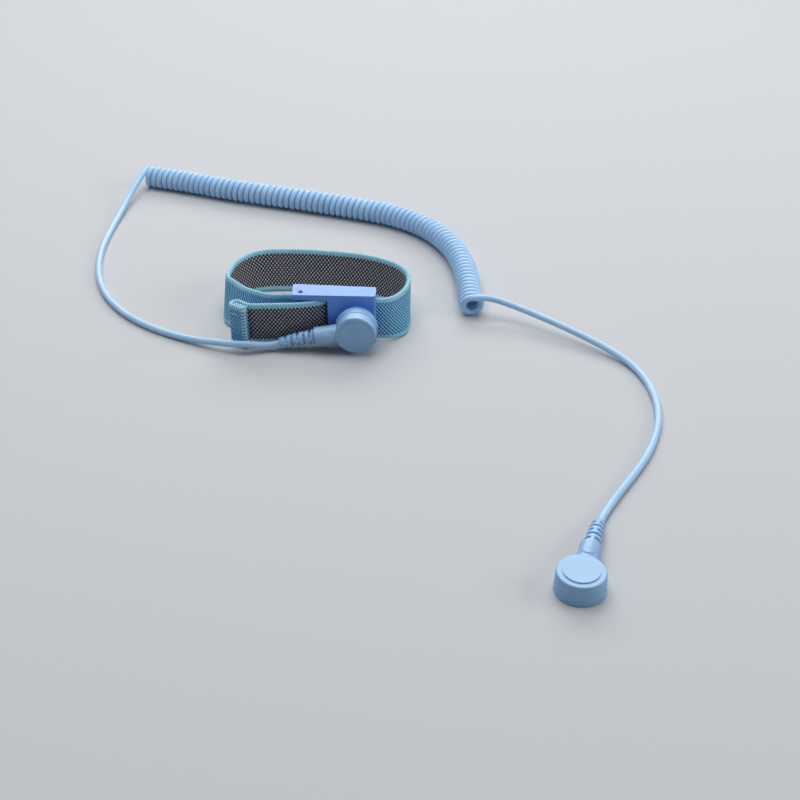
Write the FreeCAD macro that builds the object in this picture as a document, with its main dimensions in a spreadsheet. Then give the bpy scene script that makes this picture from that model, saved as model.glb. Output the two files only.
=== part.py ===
import FreeCAD, Part
import math
import os
import re
import Sketcher

# Grounding wrist strap: an elastic band with a cam clasp, a snap plug on the clasp's stud,
# a coiled lead and a second snap head at its earth end. Millimetres, +Z up, the strap
# standing on its edge, the clasp in front with its length along X.

doc = FreeCAD.newDocument("WristStrap")

# Driving dimensions. Places are measured from the origin on the surface under the strap.
sizes = {
    # Clasp housing, seen from above: a tapered channel, open at the back and both ends
    "ClaspRight": 25.0,
    "ClaspLength": 33.2,
    "ClaspEndSlant": 0.7,
    "ClaspFront": -16.6,
    "ClaspDepthLeft": 9.0,
    "ClaspDepthRight": 7.5,
    "ClaspCorner": 0.8,
    "TopRail": 2.4,
    "BottomRail": 1.0,
    "FrontThickness": 1.9,
    "WindowGap": 0.3,
    "BossRadius": 7.4,
    "BossHeight": 2.5,
    "BossRound": 0.4,
    # Steel skin plate in the back of the clasp
    "SkinPlateThickness": 0.6,
    "SkinPlateMargin": 0.6,
    "SkinPlateEnd": 0.8,
    "SkinPlateCorner": 1.2,
    "TabThickness": 0.4,
    "TabLength": 1.5,
    "TabWidth": 4.0,
    "TabInset": 5.0,
    # Snap stud, its rivet and the washer under the rivet's head
    "StudX": 17.5,
    "StudZ": 9.7,
    "StudNeck": 4.5,
    "StudBulge": 4.95,
    "StudHeight": 4.0,
    "StudShoulder": 2.2,
    "StudRound": 0.45,
    "RivetRadius": 1.6,
    "RivetHead": 3.5,
    "RivetHeadThickness": 0.8,
    "RivetPeen": 2.3,
    "RivetPeenThickness": 0.5,
    "WasherRadius": 5.0,
    "WasherThickness": 0.5,
    # Cam lever on its pin, with the band folded round its nose
    "PinInset": 3.0,
    "PinY": -14.0,
    "PinRadius": 0.8,
    "PinDimple": 1.0,
    "PinDimpleDepth": 0.3,
    "BarrelRadius": 1.4,
    "LeverReach": 7.7,
    "NoseY": -13.6,
    "NoseRadius": 1.0,
    "LeverGap": 0.4,
    "GripRadius": 0.3,
    "GripPitch": 1.1,
    # Woven elastic band
    "BandWidth": 18.0,
    "BandThickness": 1.8,
    "BandGap": 0.1,
    "BandSideGap": 0.2,
    "FixedEndReach": 9.0,
    # Bends of the worn loop, from the clasp's right end round to its left end
    "LoopExit": 0.5,
    "LoopRight": 10.5,
    "LoopRightBack": 17.2,
    "LoopBack": 84.2,
    "LoopLeftBack": 18.3,
    "LoopLeft": 20.3,
    # The free tail and its hem
    "TailEntry": 2.2,
    "TailBend": 40.0,
    "TailStraight": 14.1,
    "TailTurn": 7.0,
    "TailEnd": 3.6,
    "HemBend": 2.0,
    "HemLength": 5.6,
    # Hem stitches
    "ThreadRadius": 0.2,
    "StitchPitch": 2.2,
    # Snap heads at both ends of the lead
    "HeadRadius": 8.5,
    "CoverInset": 0.15,
    "CoverDraft": 4.0,
    "HeadThickness": 7.8,
    "HeadRound": 0.5,
    "HeadGap": 0.3,
    "PartingHeight": 3.5,
    "FaceDisc": 6.0,
    "FaceDiscHeight": 0.4,
    "NeckRadius": 3.7,
    "NeckLength": 16.6,
    "CordHeight": 3.9,
    "SocketOuter": 5.7,
    "SocketBore": 5.1,
    "SocketMouth": 5.2,
    "SocketGroove": 5.5,
    "SocketFlange": 6.4,
    "SocketFlangeThickness": 0.5,
    "SocketInset": 0.3,
    "MouthLip": 0.6,
    "GrooveWidth": 1.1,
    "SocketDepth": 4.2,
    "SocketRoof": 0.4,
    "SpringRadius": 5.19,
    "SpringWire": 0.29,
    "SpringOpening": 30.0,
    # Resistor, crimp and strain relief in the neck of a head
    "WireRadius": 0.3,
    "ResistorLead": 1.7,
    "ResistorSpace": 1.4,
    "ResistorCap": 1.15,
    "ResistorCapLength": 1.0,
    "ResistorBody": 0.95,
    "ChannelRadius": 1.3,
    "CrimpRadius": 0.8,
    "CrimpLength": 3.3,
    "ReliefFlange": 2.5,
    "ReliefFlangeThickness": 1.2,
    "ReliefWaist": 1.9,
    "ReliefWall": 0.4,
    "ReliefStart": 3.1,
    "ReliefEnd": 2.45,
    "ReliefLength": 14.8,
    "ReliefTip": 0.5,
    "ReliefWeb": 1.1,
    "SlotWidth": 0.9,
    "SlotPitch": 2.6,
    "SlotFirst": 1.3,
    "SlotCount": 3,
    # Places of the two heads
    "PlugDroop": 10.0,
    "EarthX": 97.2,
    "EarthY": -162.0,
    "EarthTurn": 74.5,
    # Lead and coil
    "CordRadius": 1.4,
    "CoilRadius": 5.2,
    "CordGap": 0.05,
    # Running and assembly clearances
    "FitGap": 0.05,
}

sheet = doc.addObject("Spreadsheet::Sheet", "Size")
for row, (alias, number) in enumerate(sizes.items(), start=1):
    sheet.set(f"A{row}", alias)
    sheet.set(f"B{row}", str(number))
    sheet.setAlias(f"B{row}", alias)
doc.recompute()

# Places and lengths worked out from the sizes above, as expressions
claspHeight = "(BottomRail + BandWidth + 2 * BandSideGap + TopRail)"
claspLeft = "(ClaspRight - ClaspLength)"
claspBackLeft = "(ClaspFront + ClaspDepthLeft)"
claspBackRight = "(ClaspFront + ClaspDepthRight)"
backSlope = f"(({claspBackRight} - {claspBackLeft}) / ClaspLength)"
cavityHeight = "(BandWidth + 2 * BandSideGap)"
pinX = f"({claspLeft} + PinInset)"
noseX = f"({pinX} + LeverReach)"
foldReach = "(NoseRadius + BandGap + BandThickness)"
windowRight = f"({noseX} + {foldReach} + WindowGap)"
plateInner = "(ClaspFront + FrontThickness)"
bossFace = "(ClaspFront - BossHeight)"
bandBottom = "(BottomRail + BandSideGap)"
bandRear = f"({plateInner} + BandGap + BandThickness)"
reliefX = "(NeckLength - ReliefWall - ReliefFlangeThickness)"
resistorStart = "(SocketOuter + ResistorLead)"
resistorEnd = f"({reliefX} - ResistorSpace)"
slotStart = "(NeckLength + SlotFirst)"


def bound(text):
    # The sheet's name goes in front of each alias, which starts with a capital
    return re.sub(r"\b([A-Z]\w*)", r"Size.\1", text)


def size(text):
    return float(sheet.evalExpression(bound(text)))


def newBody(label):
    body = doc.addObject("PartDesign::Body", label)
    body.Label = label
    return body


def originPlane(body, role):
    return next(item for item in body.Origin.OriginFeatures if item.Role == role)


def newSketch(body, role, level="0"):
    # A sketch on one of the body's own planes, raised along the plane's normal
    sketch = body.newObject("Sketcher::SketchObject", "Outline")
    sketch.AttachmentSupport = (originPlane(body, role), [""])
    sketch.MapMode = "FlatFace"
    sketch.setExpression("AttachmentOffset.Base.z", bound(level))
    return sketch


def tie(sketch, element, point, across, along):
    # Holds one point of the sketch at a place given by two expressions
    for kind, text in (("DistanceX", across), ("DistanceY", along)):
        rule = Sketcher.Constraint(kind, -1, 1, element, point, size(text))
        number = sketch.addConstraint(rule)
        sketch.setExpression(f"Constraints[{number}]", bound(text))


def addPolygon(sketch, corners):
    spots = [FreeCAD.Vector(size(across), size(along), 0) for across, along in corners]
    first = sketch.GeometryCount
    count = len(spots)
    for index, spot in enumerate(spots):
        sketch.addGeometry(Part.LineSegment(spot, spots[(index + 1) % count]))
    for index in range(count):
        following = first + (index + 1) % count
        sketch.addConstraint(Sketcher.Constraint("Coincident", first + index, 2, following, 1))
    for index, (across, along) in enumerate(corners):
        tie(sketch, first + index, 1, across, along)


def addCircle(sketch, across, along, radius):
    middle = FreeCAD.Vector(size(across), size(along), 0)
    circle = Part.Circle(middle, FreeCAD.Vector(0, 0, 1), size(radius))
    element = sketch.addGeometry(circle)
    tie(sketch, element, 3, across, along)
    number = sketch.addConstraint(Sketcher.Constraint("Radius", element, size(radius)))
    sketch.setExpression(f"Constraints[{number}]", bound(radius))


def box(left, low, right, high):
    return [(left, low), (right, low), (right, high), (left, high)]


def polygonSketch(body, role, corners, level="0"):
    sketch = newSketch(body, role, level)
    addPolygon(sketch, corners)
    return sketch


def circleSketch(body, role, across, along, radius, level="0"):
    sketch = newSketch(body, role, level)
    addCircle(sketch, across, along, radius)
    return sketch


def pad(body, sketch, length):
    feature = body.newObject("PartDesign::Pad", "Pad")
    feature.Profile = sketch
    feature.setExpression("Length", bound(length))
    doc.recompute()
    return feature


def pocket(body, sketch, length, forward=True, midplane=False):
    # Cuts along the sketch's normal when forward, and takes something away or stops
    before = body.Shape.Volume
    feature = body.newObject("PartDesign::Pocket", "Pocket")
    feature.Profile = sketch
    feature.Reversed = forward
    feature.Midplane = midplane
    feature.setExpression("Length", bound(length))
    doc.recompute()
    if not body.Shape.Volume < before:
        raise RuntimeError(f"a cut in {body.Label} takes nothing away")
    return feature


def revolve(body, sketch, axis):
    feature = body.newObject("PartDesign::Revolution", "Revolution")
    feature.Profile = sketch
    feature.ReferenceAxis = (sketch, [axis])
    feature.Angle = 360
    doc.recompute()
    return feature


def edgesWhere(feature, test):
    return [f"Edge{number}" for number, edge in enumerate(feature.Shape.Edges, start=1) if test(edge)]


def fillet(body, edges, radius):
    base = body.Tip
    feature = body.newObject("PartDesign::Fillet", "Fillet")
    feature.Base = (base, edges)
    feature.setExpression("Radius", bound(radius))
    doc.recompute()
    return feature


def upright(edge):
    # A straight edge along Z
    ends = [vertex.Point for vertex in edge.Vertexes]
    if len(ends) < 2:
        return False
    return abs(ends[0].x - ends[1].x) < 1e-6 and abs(ends[0].y - ends[1].y) < 1e-6


def atLevel(edge, level, axis="z"):
    box = edge.BoundBox
    low, high = getattr(box, axis.upper() + "Min"), getattr(box, axis.upper() + "Max")
    return abs(low - level) < 1e-4 and abs(high - level) < 1e-4


def backAt(across):
    # Y of the clasp's sloping back face at one X, as an expression
    return f"({claspBackLeft} + {backSlope} * ({across} - {claspLeft}))"


def makeClaspFrame():
    body = newBody("clasp_frame")
    backCorner = f"({claspLeft} - ClaspEndSlant)"
    outline = [(claspLeft, "ClaspFront"), ("ClaspRight", "ClaspFront"),
               ("ClaspRight", claspBackRight), (backCorner, backAt(backCorner))]
    block = pad(body, polygonSketch(body, "XY_Plane", outline), claspHeight)
    fillet(body, edgesWhere(block, upright), "ClaspCorner")
    # Round boss that carries the stud
    boss = circleSketch(body, "XZ_Plane", "StudX", "StudZ", "BossRadius", "-ClaspFront")
    bossPad = pad(body, boss, "BossHeight")
    face = size(bossFace)
    fillet(body, edgesWhere(bossPad, lambda edge: atLevel(edge, face, "y")), "BossRound")
    # Channel between the rails, open through the window on the left of the front
    beyond = "ClaspDepthLeft"
    channel = [(f"{claspLeft} - {beyond}", f"ClaspFront - {beyond}"),
               (windowRight, f"ClaspFront - {beyond}"),
               (windowRight, plateInner),
               (f"ClaspRight + {beyond}", plateInner),
               (f"ClaspRight + {beyond}", f"{claspBackLeft} + {beyond}"),
               (f"{claspLeft} - {beyond}", f"{claspBackLeft} + {beyond}")]
    pocket(body, polygonSketch(body, "XY_Plane", channel, "BottomRail"), cavityHeight)
    # Seat of the skin plate along the back edges of the rails
    left = f"({claspLeft} + SkinPlateEnd - FitGap)"
    right = "(ClaspRight - SkinPlateEnd + FitGap)"
    depth = "SkinPlateThickness"
    seat = [(left, f"{backAt(left)} - {depth}"), (right, f"{backAt(right)} - {depth}"),
            (right, f"{backAt(right)} + {depth}"), (left, f"{backAt(left)} + {depth}")]
    low = "(SkinPlateMargin - FitGap)"
    pocket(body, polygonSketch(body, "XY_Plane", seat, low), f"{claspHeight} - 2 * {low}")
    # Holes for the rivet and the lever's pin, the latter dimpled on the outside
    rivet = circleSketch(body, "XZ_Plane", "StudX", "StudZ", "RivetRadius + FitGap", f"-{bossFace}")
    pocket(body, rivet, "BossHeight + FrontThickness", forward=False)
    pin = circleSketch(body, "XY_Plane", pinX, "PinY", "PinRadius")
    pocket(body, pin, claspHeight)
    for level in ("0", f"{claspHeight} - PinDimpleDepth"):
        dimple = circleSketch(body, "XY_Plane", pinX, "PinY", "PinDimple", level)
        pocket(body, dimple, "PinDimpleDepth")


def makeContactPlate():
    body = newBody("contact_plate")
    left = f"({claspLeft} + SkinPlateEnd)"
    right = "(ClaspRight - SkinPlateEnd)"
    strip = [(left, f"{backAt(left)} - SkinPlateThickness"),
             (right, f"{backAt(right)} - SkinPlateThickness"),
             (right, backAt(right)), (left, backAt(left))]
    sketch = polygonSketch(body, "XY_Plane", strip, "SkinPlateMargin")
    plate = pad(body, sketch, f"{claspHeight} - 2 * SkinPlateMargin")
    short = 2 * size("SkinPlateThickness")
    corners = edgesWhere(plate, lambda edge: edge.Length < short and not upright(edge))
    fillet(body, corners, "SkinPlateCorner")
    # Four bent tabs that grip the inner faces of the rails
    for level in ("BottomRail", f"{claspHeight} - TopRail - TabThickness"):
        sketch = newSketch(body, "XY_Plane", level)
        for middle in (f"({left} + TabInset)", f"({right} - TabInset)"):
            root = backAt(middle)
            corners = box(f"{middle} - TabWidth / 2", f"{root} - SkinPlateThickness - TabLength",
                          f"{middle} + TabWidth / 2", f"{root} - SkinPlateThickness / 2")
            addPolygon(sketch, corners)
        pad(body, sketch, "TabThickness")


def placeOnStud(body):
    # Local Z along the stud's axis, out of the clasp, from the boss's face
    body.Placement = FreeCAD.Placement(
        FreeCAD.Vector(size("StudX"), size(bossFace), size("StudZ")),
        FreeCAD.Rotation(FreeCAD.Vector(1, 0, 0), 90))
    body.setExpression("Placement.Base.x", bound("StudX"))
    body.setExpression("Placement.Base.y", bound(bossFace))
    body.setExpression("Placement.Base.z", bound("StudZ"))


def makeSnapStud():
    body = newBody("snap_stud")
    bore = "(RivetRadius + FitGap)"
    recess = "(RivetPeen + FitGap)"
    seat = "(StudHeight - RivetPeenThickness - StudRound / 2)"
    profile = [(bore, "0"), ("StudNeck", "0"), ("StudNeck", "StudShoulder"),
               ("StudBulge", "StudShoulder + StudRound"), ("StudBulge", "StudHeight - StudRound"),
               ("StudBulge - StudRound", "StudHeight"), (recess, "StudHeight"),
               (recess, seat), (bore, seat)]
    revolve(body, polygonSketch(body, "XZ_Plane", profile), "V_Axis")
    placeOnStud(body)


def makeStudRivet():
    body = newBody("stud_rivet")
    seat = "(StudHeight - RivetPeenThickness - StudRound / 2)"
    under = f"({bossFace} - {bandRear} - WasherThickness)"
    profile = [("0", f"{under} - RivetHeadThickness"), ("RivetHead", f"{under} - RivetHeadThickness"),
               ("RivetHead", under), ("RivetRadius", under), ("RivetRadius", seat),
               ("RivetPeen", seat), ("RivetPeen", f"{seat} + RivetPeenThickness"),
               ("0", f"{seat} + RivetPeenThickness")]
    revolve(body, polygonSketch(body, "XZ_Plane", profile), "V_Axis")
    placeOnStud(body)


def makeStudWasher():
    body = newBody("stud_washer")
    under = f"({bossFace} - {bandRear} - WasherThickness)"
    sketch = newSketch(body, "XY_Plane", under)
    addCircle(sketch, "0", "0", "WasherRadius")
    addCircle(sketch, "0", "0", "RivetRadius + FitGap")
    pad(body, sketch, "WasherThickness")
    placeOnStud(body)


def makeCamLever():
    body = newBody("cam_lever")
    low = "(BottomRail + LeverGap)"
    height = f"({cavityHeight} - 2 * LeverGap)"
    pad(body, circleSketch(body, "XY_Plane", pinX, "PinY", "BarrelRadius", low), height)
    blade = box(pinX, "NoseY - NoseRadius", noseX, "NoseY + NoseRadius")
    pad(body, polygonSketch(body, "XY_Plane", blade, low), height)
    pad(body, circleSketch(body, "XY_Plane", noseX, "NoseY", "NoseRadius", low), height)
    pocket(body, circleSketch(body, "XY_Plane", pinX, "PinY", "PinRadius + FitGap", low), height)
    # Grip grooves along the front of the nose
    sketch = newSketch(body, "XY_Plane", low)
    for count in range(3):
        addCircle(sketch, f"{noseX} - {count} * GripPitch", "NoseY - NoseRadius", "GripRadius")
    pocket(body, sketch, height)


def makeLeverPin():
    pin = doc.addObject("Part::Cylinder", "lever_pin")
    pin.Label = "lever_pin"
    pin.setExpression("Radius", bound("PinRadius"))
    pin.setExpression("Height", bound(f"{claspHeight} - 2 * PinDimpleDepth"))
    pin.setExpression("Placement.Base.x", bound(pinX))
    pin.setExpression("Placement.Base.y", bound("PinY"))
    pin.setExpression("Placement.Base.z", bound("PinDimpleDepth"))


def ribbonPath(start, heading, pieces):
    # Stations of a level ribbon: straight pieces are a length, bends a radius and a turn,
    # counted anticlockwise. Each station is a place with its heading in degrees.
    stations = [(start[0], start[1], heading)]
    for piece in pieces:
        x, y, angle = stations[-1]
        along = math.radians(angle)
        if len(piece) == 1:
            length = piece[0]
            stations.append((x + length * math.cos(along), y + length * math.sin(along), angle))
            continue
        radius, turn = piece
        side = math.copysign(1, turn)
        centreX = x - side * radius * math.sin(along)
        centreY = y + side * radius * math.cos(along)
        after = math.radians(angle + turn)
        stations.append((centreX + side * radius * math.sin(after),
                         centreY - side * radius * math.cos(after), angle + turn))
    return stations


def ribbonEdges(stations, pieces, offset):
    # Edges of one face of the ribbon, at an offset to the left of its centre line
    def shifted(x, y, angle):
        along = math.radians(angle)
        return FreeCAD.Vector(x - offset * math.sin(along), y + offset * math.cos(along), 0)

    edges = []
    for piece, before, after in zip(pieces, stations, stations[1:]):
        first = shifted(*before)
        last = shifted(*after)
        if len(piece) == 1:
            edges.append(Part.LineSegment(first, last).toShape())
            continue
        middle = ribbonPath(before[:2], before[2], [(piece[0], piece[1] / 2)])[-1]
        edges.append(Part.Arc(first, shifted(*middle), last).toShape())
    return edges


def ribbonSolid(start, heading, pieces):
    half = size("BandThickness") / 2
    stations = ribbonPath(start, heading, pieces)
    left = ribbonEdges(stations, pieces, half)
    right = ribbonEdges(stations, pieces, -half)
    ends = [Part.LineSegment(left[0].valueAt(left[0].FirstParameter),
                             right[0].valueAt(right[0].FirstParameter)).toShape(),
            Part.LineSegment(left[-1].valueAt(left[-1].LastParameter),
                             right[-1].valueAt(right[-1].LastParameter)).toShape()]
    loop = Part.Wire(Part.__sortEdges__(left + right + ends))
    face = Part.Face(loop)
    return face.extrude(FreeCAD.Vector(0, 0, size("BandWidth"))), stations[-1]


def addSolid(label, shape, base=None):
    feature = doc.addObject("Part::Feature", label)
    feature.Label = label
    feature.Shape = shape
    if base:
        feature.Placement.Base = base
    return feature


def foldRadius():
    # Centre line of the band where it wraps the lever's nose
    return size("NoseRadius + BandGap + BandThickness / 2")


def loopPieces():
    # The worn loop, from the clasp's right end round the wrist side to its left end.
    # The two straights close the loop.
    bends = [(size("LoopRight"), 75.7), (size("LoopRightBack"), 76.0), (size("LoopBack"), 34.0),
             (size("LoopLeftBack"), 117.3), (size("LoopLeft"), 57.0)]
    startX = size("ClaspRight + LoopExit")
    startY = size(f"{bandRear} - BandThickness / 2")
    endX = size(noseX)
    endY = size("NoseY") + foldRadius()
    x, y, angle = ribbonPath((startX, startY), 0, bends)[-1]
    firstHeading = math.radians(bends[0][1])
    rise = (endY - y) / math.sin(firstHeading)
    run = endX - x - rise * math.cos(firstHeading)
    return [bends[0], (rise,)] + bends[1:] + [(run,)]


def makeElasticBand():
    startX = size("StudX - FixedEndReach")
    centreY = size(f"{bandRear} - BandThickness / 2")
    inside = (size("ClaspRight + LoopExit") - startX,)
    solid, _ = ribbonSolid((startX, centreY), 0, [inside] + loopPieces())
    bottom = size(bandBottom)
    hole = Part.makeCylinder(
        size("RivetRadius + FitGap"), 2 * size("BandThickness"),
        FreeCAD.Vector(size("StudX"), centreY + size("BandThickness"), size("StudZ") - bottom),
        FreeCAD.Vector(0, -1, 0))
    addSolid("elastic_band", solid.cut(hole), FreeCAD.Vector(0, 0, bottom))


def tailPieces():
    # Fold round the lever's nose, free tail, and its end turned forward into the hem
    return [(foldRadius(), -160), (size("TailEntry"),), (size("TailBend"), -15.5),
            (size("TailStraight"),), (size("TailTurn"), -30), (size("TailEnd"),),
            (size("HemBend"), 182), (size("HemLength"),)]


def makeBandTail():
    start = (size(noseX), size("NoseY") + foldRadius())
    solid, end = ribbonSolid(start, 0, tailPieces())
    addSolid("band_tail", solid, FreeCAD.Vector(0, 0, size(bandBottom)))
    return end


def makeHemStitches(end):
    # Whip stitches over the cut end of the hem, one above the other
    x, y, angle = end
    reach = size("BandThickness / 2 + ThreadRadius + FitGap")
    count = int(size("BandWidth") // size("StitchPitch"))
    margin = (size("BandWidth") - (count - 1) * size("StitchPitch")) / 2
    loops = []
    for number in range(count):
        level = size(bandBottom) + margin + number * size("StitchPitch")
        outside, inside = [
            Part.makeCylinder(radius, 2 * size("ThreadRadius"), FreeCAD.Vector(0, 0, 0),
                              FreeCAD.Vector(0, 0, 1), 180)
            for radius in (reach + size("ThreadRadius"), reach - size("ThreadRadius"))]
        loop = outside.cut(inside)
        loop.Placement = FreeCAD.Placement(FreeCAD.Vector(x, y, level),
                                           FreeCAD.Rotation(FreeCAD.Vector(0, 0, 1), angle - 90))
        loops.append(loop)
    addSolid("hem_stitches", Part.makeCompound(loops))


def makeHeadShell(label, place, lower):
    # One half of a snap head, split along the parting plane through its neck
    body = newBody(label)
    if lower:
        disc = pad(body, circleSketch(body, "XY_Plane", "0", "0", "HeadRadius"), "PartingHeight")
        edge = 0.0
    else:
        foot = circleSketch(body, "XY_Plane", "0", "0", "HeadRadius - CoverInset", "PartingHeight")
        disc = pad(body, foot, "HeadThickness - PartingHeight")
        disc.setExpression("TaperAngle", bound("-CoverDraft"))
        doc.recompute()
        edge = size("HeadThickness")
    rim = edgesWhere(disc, lambda item: atLevel(item, edge))
    fillet(body, rim, "HeadRound / 2" if lower else "HeadRound")
    pad(body, circleSketch(body, "YZ_Plane", "0", "CordHeight", "NeckRadius"), "NeckLength")
    reach = "(HeadRadius + NeckLength)"
    half = polygonSketch(body, "XY_Plane", box(f"-{reach}", f"-{reach}", reach, reach), "PartingHeight")
    pocket(body, half, "HeadThickness", forward=lower)
    # Seat of the socket
    if lower:
        mouth = circleSketch(body, "XY_Plane", "0", "0", "SocketOuter + FitGap")
        pocket(body, mouth, "PartingHeight")
        ledge = circleSketch(body, "XY_Plane", "0", "0", "SocketFlange + FitGap",
                             "PartingHeight - SocketFlangeThickness")
        pocket(body, ledge, "SocketFlangeThickness")
    else:
        roof = "(SocketDepth + SocketRoof + FitGap - PartingHeight)"
        crown = circleSketch(body, "XY_Plane", "0", "0", "SocketOuter + FitGap", "PartingHeight")
        pocket(body, crown, roof)
        face = circleSketch(body, "XY_Plane", "0", "0", "FaceDisc", "HeadThickness")
        pad(body, face, "FaceDiscHeight")
    # Channel for the resistor and crimp, and the seat of the strain relief
    steps = [("SocketOuter", "ChannelRadius", f"{reliefX} - SocketOuter"),
             (reliefX, "ReliefFlange + FitGap", "ReliefFlangeThickness"),
             (f"{reliefX} + ReliefFlangeThickness", "ReliefWaist + FitGap", "ReliefWall")]
    for start, radius, length in steps:
        pocket(body, circleSketch(body, "YZ_Plane", "0", "CordHeight", radius, start), length)
    body.Placement = place


def makeSocket(label, place):
    body = newBody(label)
    grooveTop = "(SocketInset + MouthLip + GrooveWidth)"
    ledge = "(PartingHeight - SocketFlangeThickness)"
    top = "(SocketDepth + SocketRoof)"
    profile = [("SocketMouth", "SocketInset"), ("SocketOuter", "SocketInset"),
               ("SocketOuter", ledge), ("SocketFlange", ledge), ("SocketFlange", "PartingHeight"),
               ("SocketOuter", "PartingHeight"), ("SocketOuter", top), ("0", top),
               ("0", "SocketDepth"), ("SocketBore", "SocketDepth"), ("SocketBore", grooveTop),
               ("SocketGroove", grooveTop), ("SocketGroove", "SocketInset + MouthLip"),
               ("SocketMouth", "SocketInset + MouthLip")]
    revolve(body, polygonSketch(body, "XZ_Plane", profile), "V_Axis")
    body.Placement = place


def makeSpring(label, place):
    # Open ring of spring wire in the socket's groove
    ring = doc.addObject("Part::Torus", label)
    ring.Label = label
    ring.setExpression("Radius1", bound("SpringRadius"))
    ring.setExpression("Radius2", bound("SpringWire"))
    ring.setExpression("Angle3", bound("360 - SpringOpening"))
    level = FreeCAD.Vector(0, 0, size("SocketInset + MouthLip + GrooveWidth / 2"))
    turn = FreeCAD.Rotation(FreeCAD.Vector(0, 0, 1), size("SpringOpening / 2"))
    ring.Placement = place.multiply(FreeCAD.Placement(level, turn))


def makeTurned(label, place, profile):
    # A turned piece on the cord's axis through the neck of a head
    body = newBody(label)
    revolve(body, polygonSketch(body, "XZ_Plane", profile), "H_Axis")
    body.Placement = place.multiply(FreeCAD.Placement(
        FreeCAD.Vector(0, 0, size("CordHeight")), FreeCAD.Rotation()))
    return body


def makeResistor(label, place):
    start, end = resistorStart, resistorEnd
    profile = [("SocketOuter + FitGap", "0"), ("SocketOuter + FitGap", "WireRadius"),
               (start, "WireRadius"), (start, "ResistorCap"),
               (f"{start} + ResistorCapLength", "ResistorCap"),
               (f"{start} + ResistorCapLength", "ResistorBody"),
               (f"{end} - ResistorCapLength", "ResistorBody"),
               (f"{end} - ResistorCapLength", "ResistorCap"), (end, "ResistorCap"), (end, "0")]
    makeTurned(label, place, profile)


def makeCrimp(label, place, wireStart):
    start = f"({reliefX} + FitGap)"
    end = f"({start} + CrimpLength)"
    profile = [(wireStart, "0"), (wireStart, "WireRadius"), (start, "WireRadius"),
               (start, "CrimpRadius"), (end, "CrimpRadius"), (end, "0")]
    makeTurned(label, place, profile)


def makeRelief(label, place):
    neck = "(NeckLength + FitGap)"
    end = "(NeckLength + ReliefLength)"
    flangeEnd = f"({reliefX} + ReliefFlangeThickness)"
    boreEnd = f"({reliefX} + CrimpLength + 2 * FitGap)"
    bore = "(CrimpRadius + FitGap)"
    profile = [(reliefX, bore), (reliefX, "ReliefFlange"), (flangeEnd, "ReliefFlange"),
               (flangeEnd, "ReliefWaist"), (neck, "ReliefWaist"), (neck, "ReliefStart"),
               (f"{end} - ReliefTip", "ReliefEnd"), (end, "ReliefEnd - ReliefTip"), (end, "0"),
               (boreEnd, "0"), (boreEnd, bore)]
    body = makeTurned(label, place, profile)
    # Staggered slots that leave a flexible web, on both sides, then above and below
    for role, start, slots in (("XY_Plane", slotStart, "SlotCount"),
                               ("XZ_Plane", f"({slotStart} + SlotPitch)", "SlotCount - 1")):
        sketch = newSketch(body, role)
        for count in range(int(size(slots))):
            left = f"({start} + {2 * count} * SlotPitch)"
            for low, high in (("ReliefWeb", "ReliefStart + ReliefWeb"),
                              ("-ReliefStart - ReliefWeb", "-ReliefWeb")):
                addPolygon(sketch, box(left, low, f"{left} + SlotWidth", high))
        pocket(body, sketch, "4 * ReliefStart", midplane=True)


def plugPlace():
    # Local Z along the stud's axis, away from the clasp; local X down the strain relief
    droop = math.radians(size("PlugDroop"))
    along = FreeCAD.Vector(-math.cos(droop), 0, -math.sin(droop))
    out = FreeCAD.Vector(0, -1, 0)
    turn = FreeCAD.Rotation(along, out.cross(along), out, "XZY")
    base = FreeCAD.Vector(size("StudX"), size(bossFace) - size("HeadGap"), size("StudZ"))
    return FreeCAD.Placement(base, turn)


def earthPlace():
    turn = FreeCAD.Rotation(FreeCAD.Vector(0, 0, 1), size("EarthTurn"))
    return FreeCAD.Placement(FreeCAD.Vector(size("EarthX"), size("EarthY"), 0), turn)


def makeHead(prefix, place):
    makeHeadShell(f"{prefix}_cover", place, lower=False)
    makeHeadShell(f"{prefix}_base", place, lower=True)
    makeSocket(f"{prefix}_socket", place)
    makeSpring(f"{prefix}_ring_spring", place)
    makeRelief(f"{prefix}_strain_relief", place)


def exitOf(place, distance):
    # A point on the cord's axis, at a distance past the end of the strain relief
    along = size("NeckLength + ReliefLength") + distance
    return place.multVec(FreeCAD.Vector(along, 0, size("CordHeight")))


def cordSolid(label, points, radius):
    # A tube of straight runs and tangent arcs, each arc as large as its two runs allow
    edges = []
    radii = []
    place = points[0]
    for before, corner, after in zip(points, points[1:], points[2:]):
        back = (before - corner)
        ahead = (after - corner)
        turn = math.pi - back.getAngle(ahead)
        reach = 0.45 * min(back.Length, ahead.Length)
        bend = reach / math.tan(turn / 2)
        radii.append(round(bend, 1))
        enter = corner + back.normalize() * reach
        leave = corner + ahead.normalize() * reach
        towards = (back + ahead).normalize()
        middle = corner + towards * (bend / math.cos(turn / 2) - bend)
        edges.append(Part.LineSegment(place, enter).toShape())
        edges.append(Part.Arc(enter, middle, leave).toShape())
        place = leave
    edges.append(Part.LineSegment(place, points[-1]).toShape())
    path = Part.Wire(edges)
    direction = (points[1] - points[0]).normalize()
    ring = Part.Wire(Part.Circle(points[0], direction, radius).toShape())
    tube = path.makePipeShell([ring], True, False)
    expected = math.pi * radius ** 2 * path.Length
    print(f"{label}: length {path.Length:.1f}, volume ratio {tube.Volume / expected:.4f}, radii {radii}")
    if abs(tube.Volume / expected - 1) > 0.01:
        raise RuntimeError(f"{label} doesn't have the volume of its path")
    return tube


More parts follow.
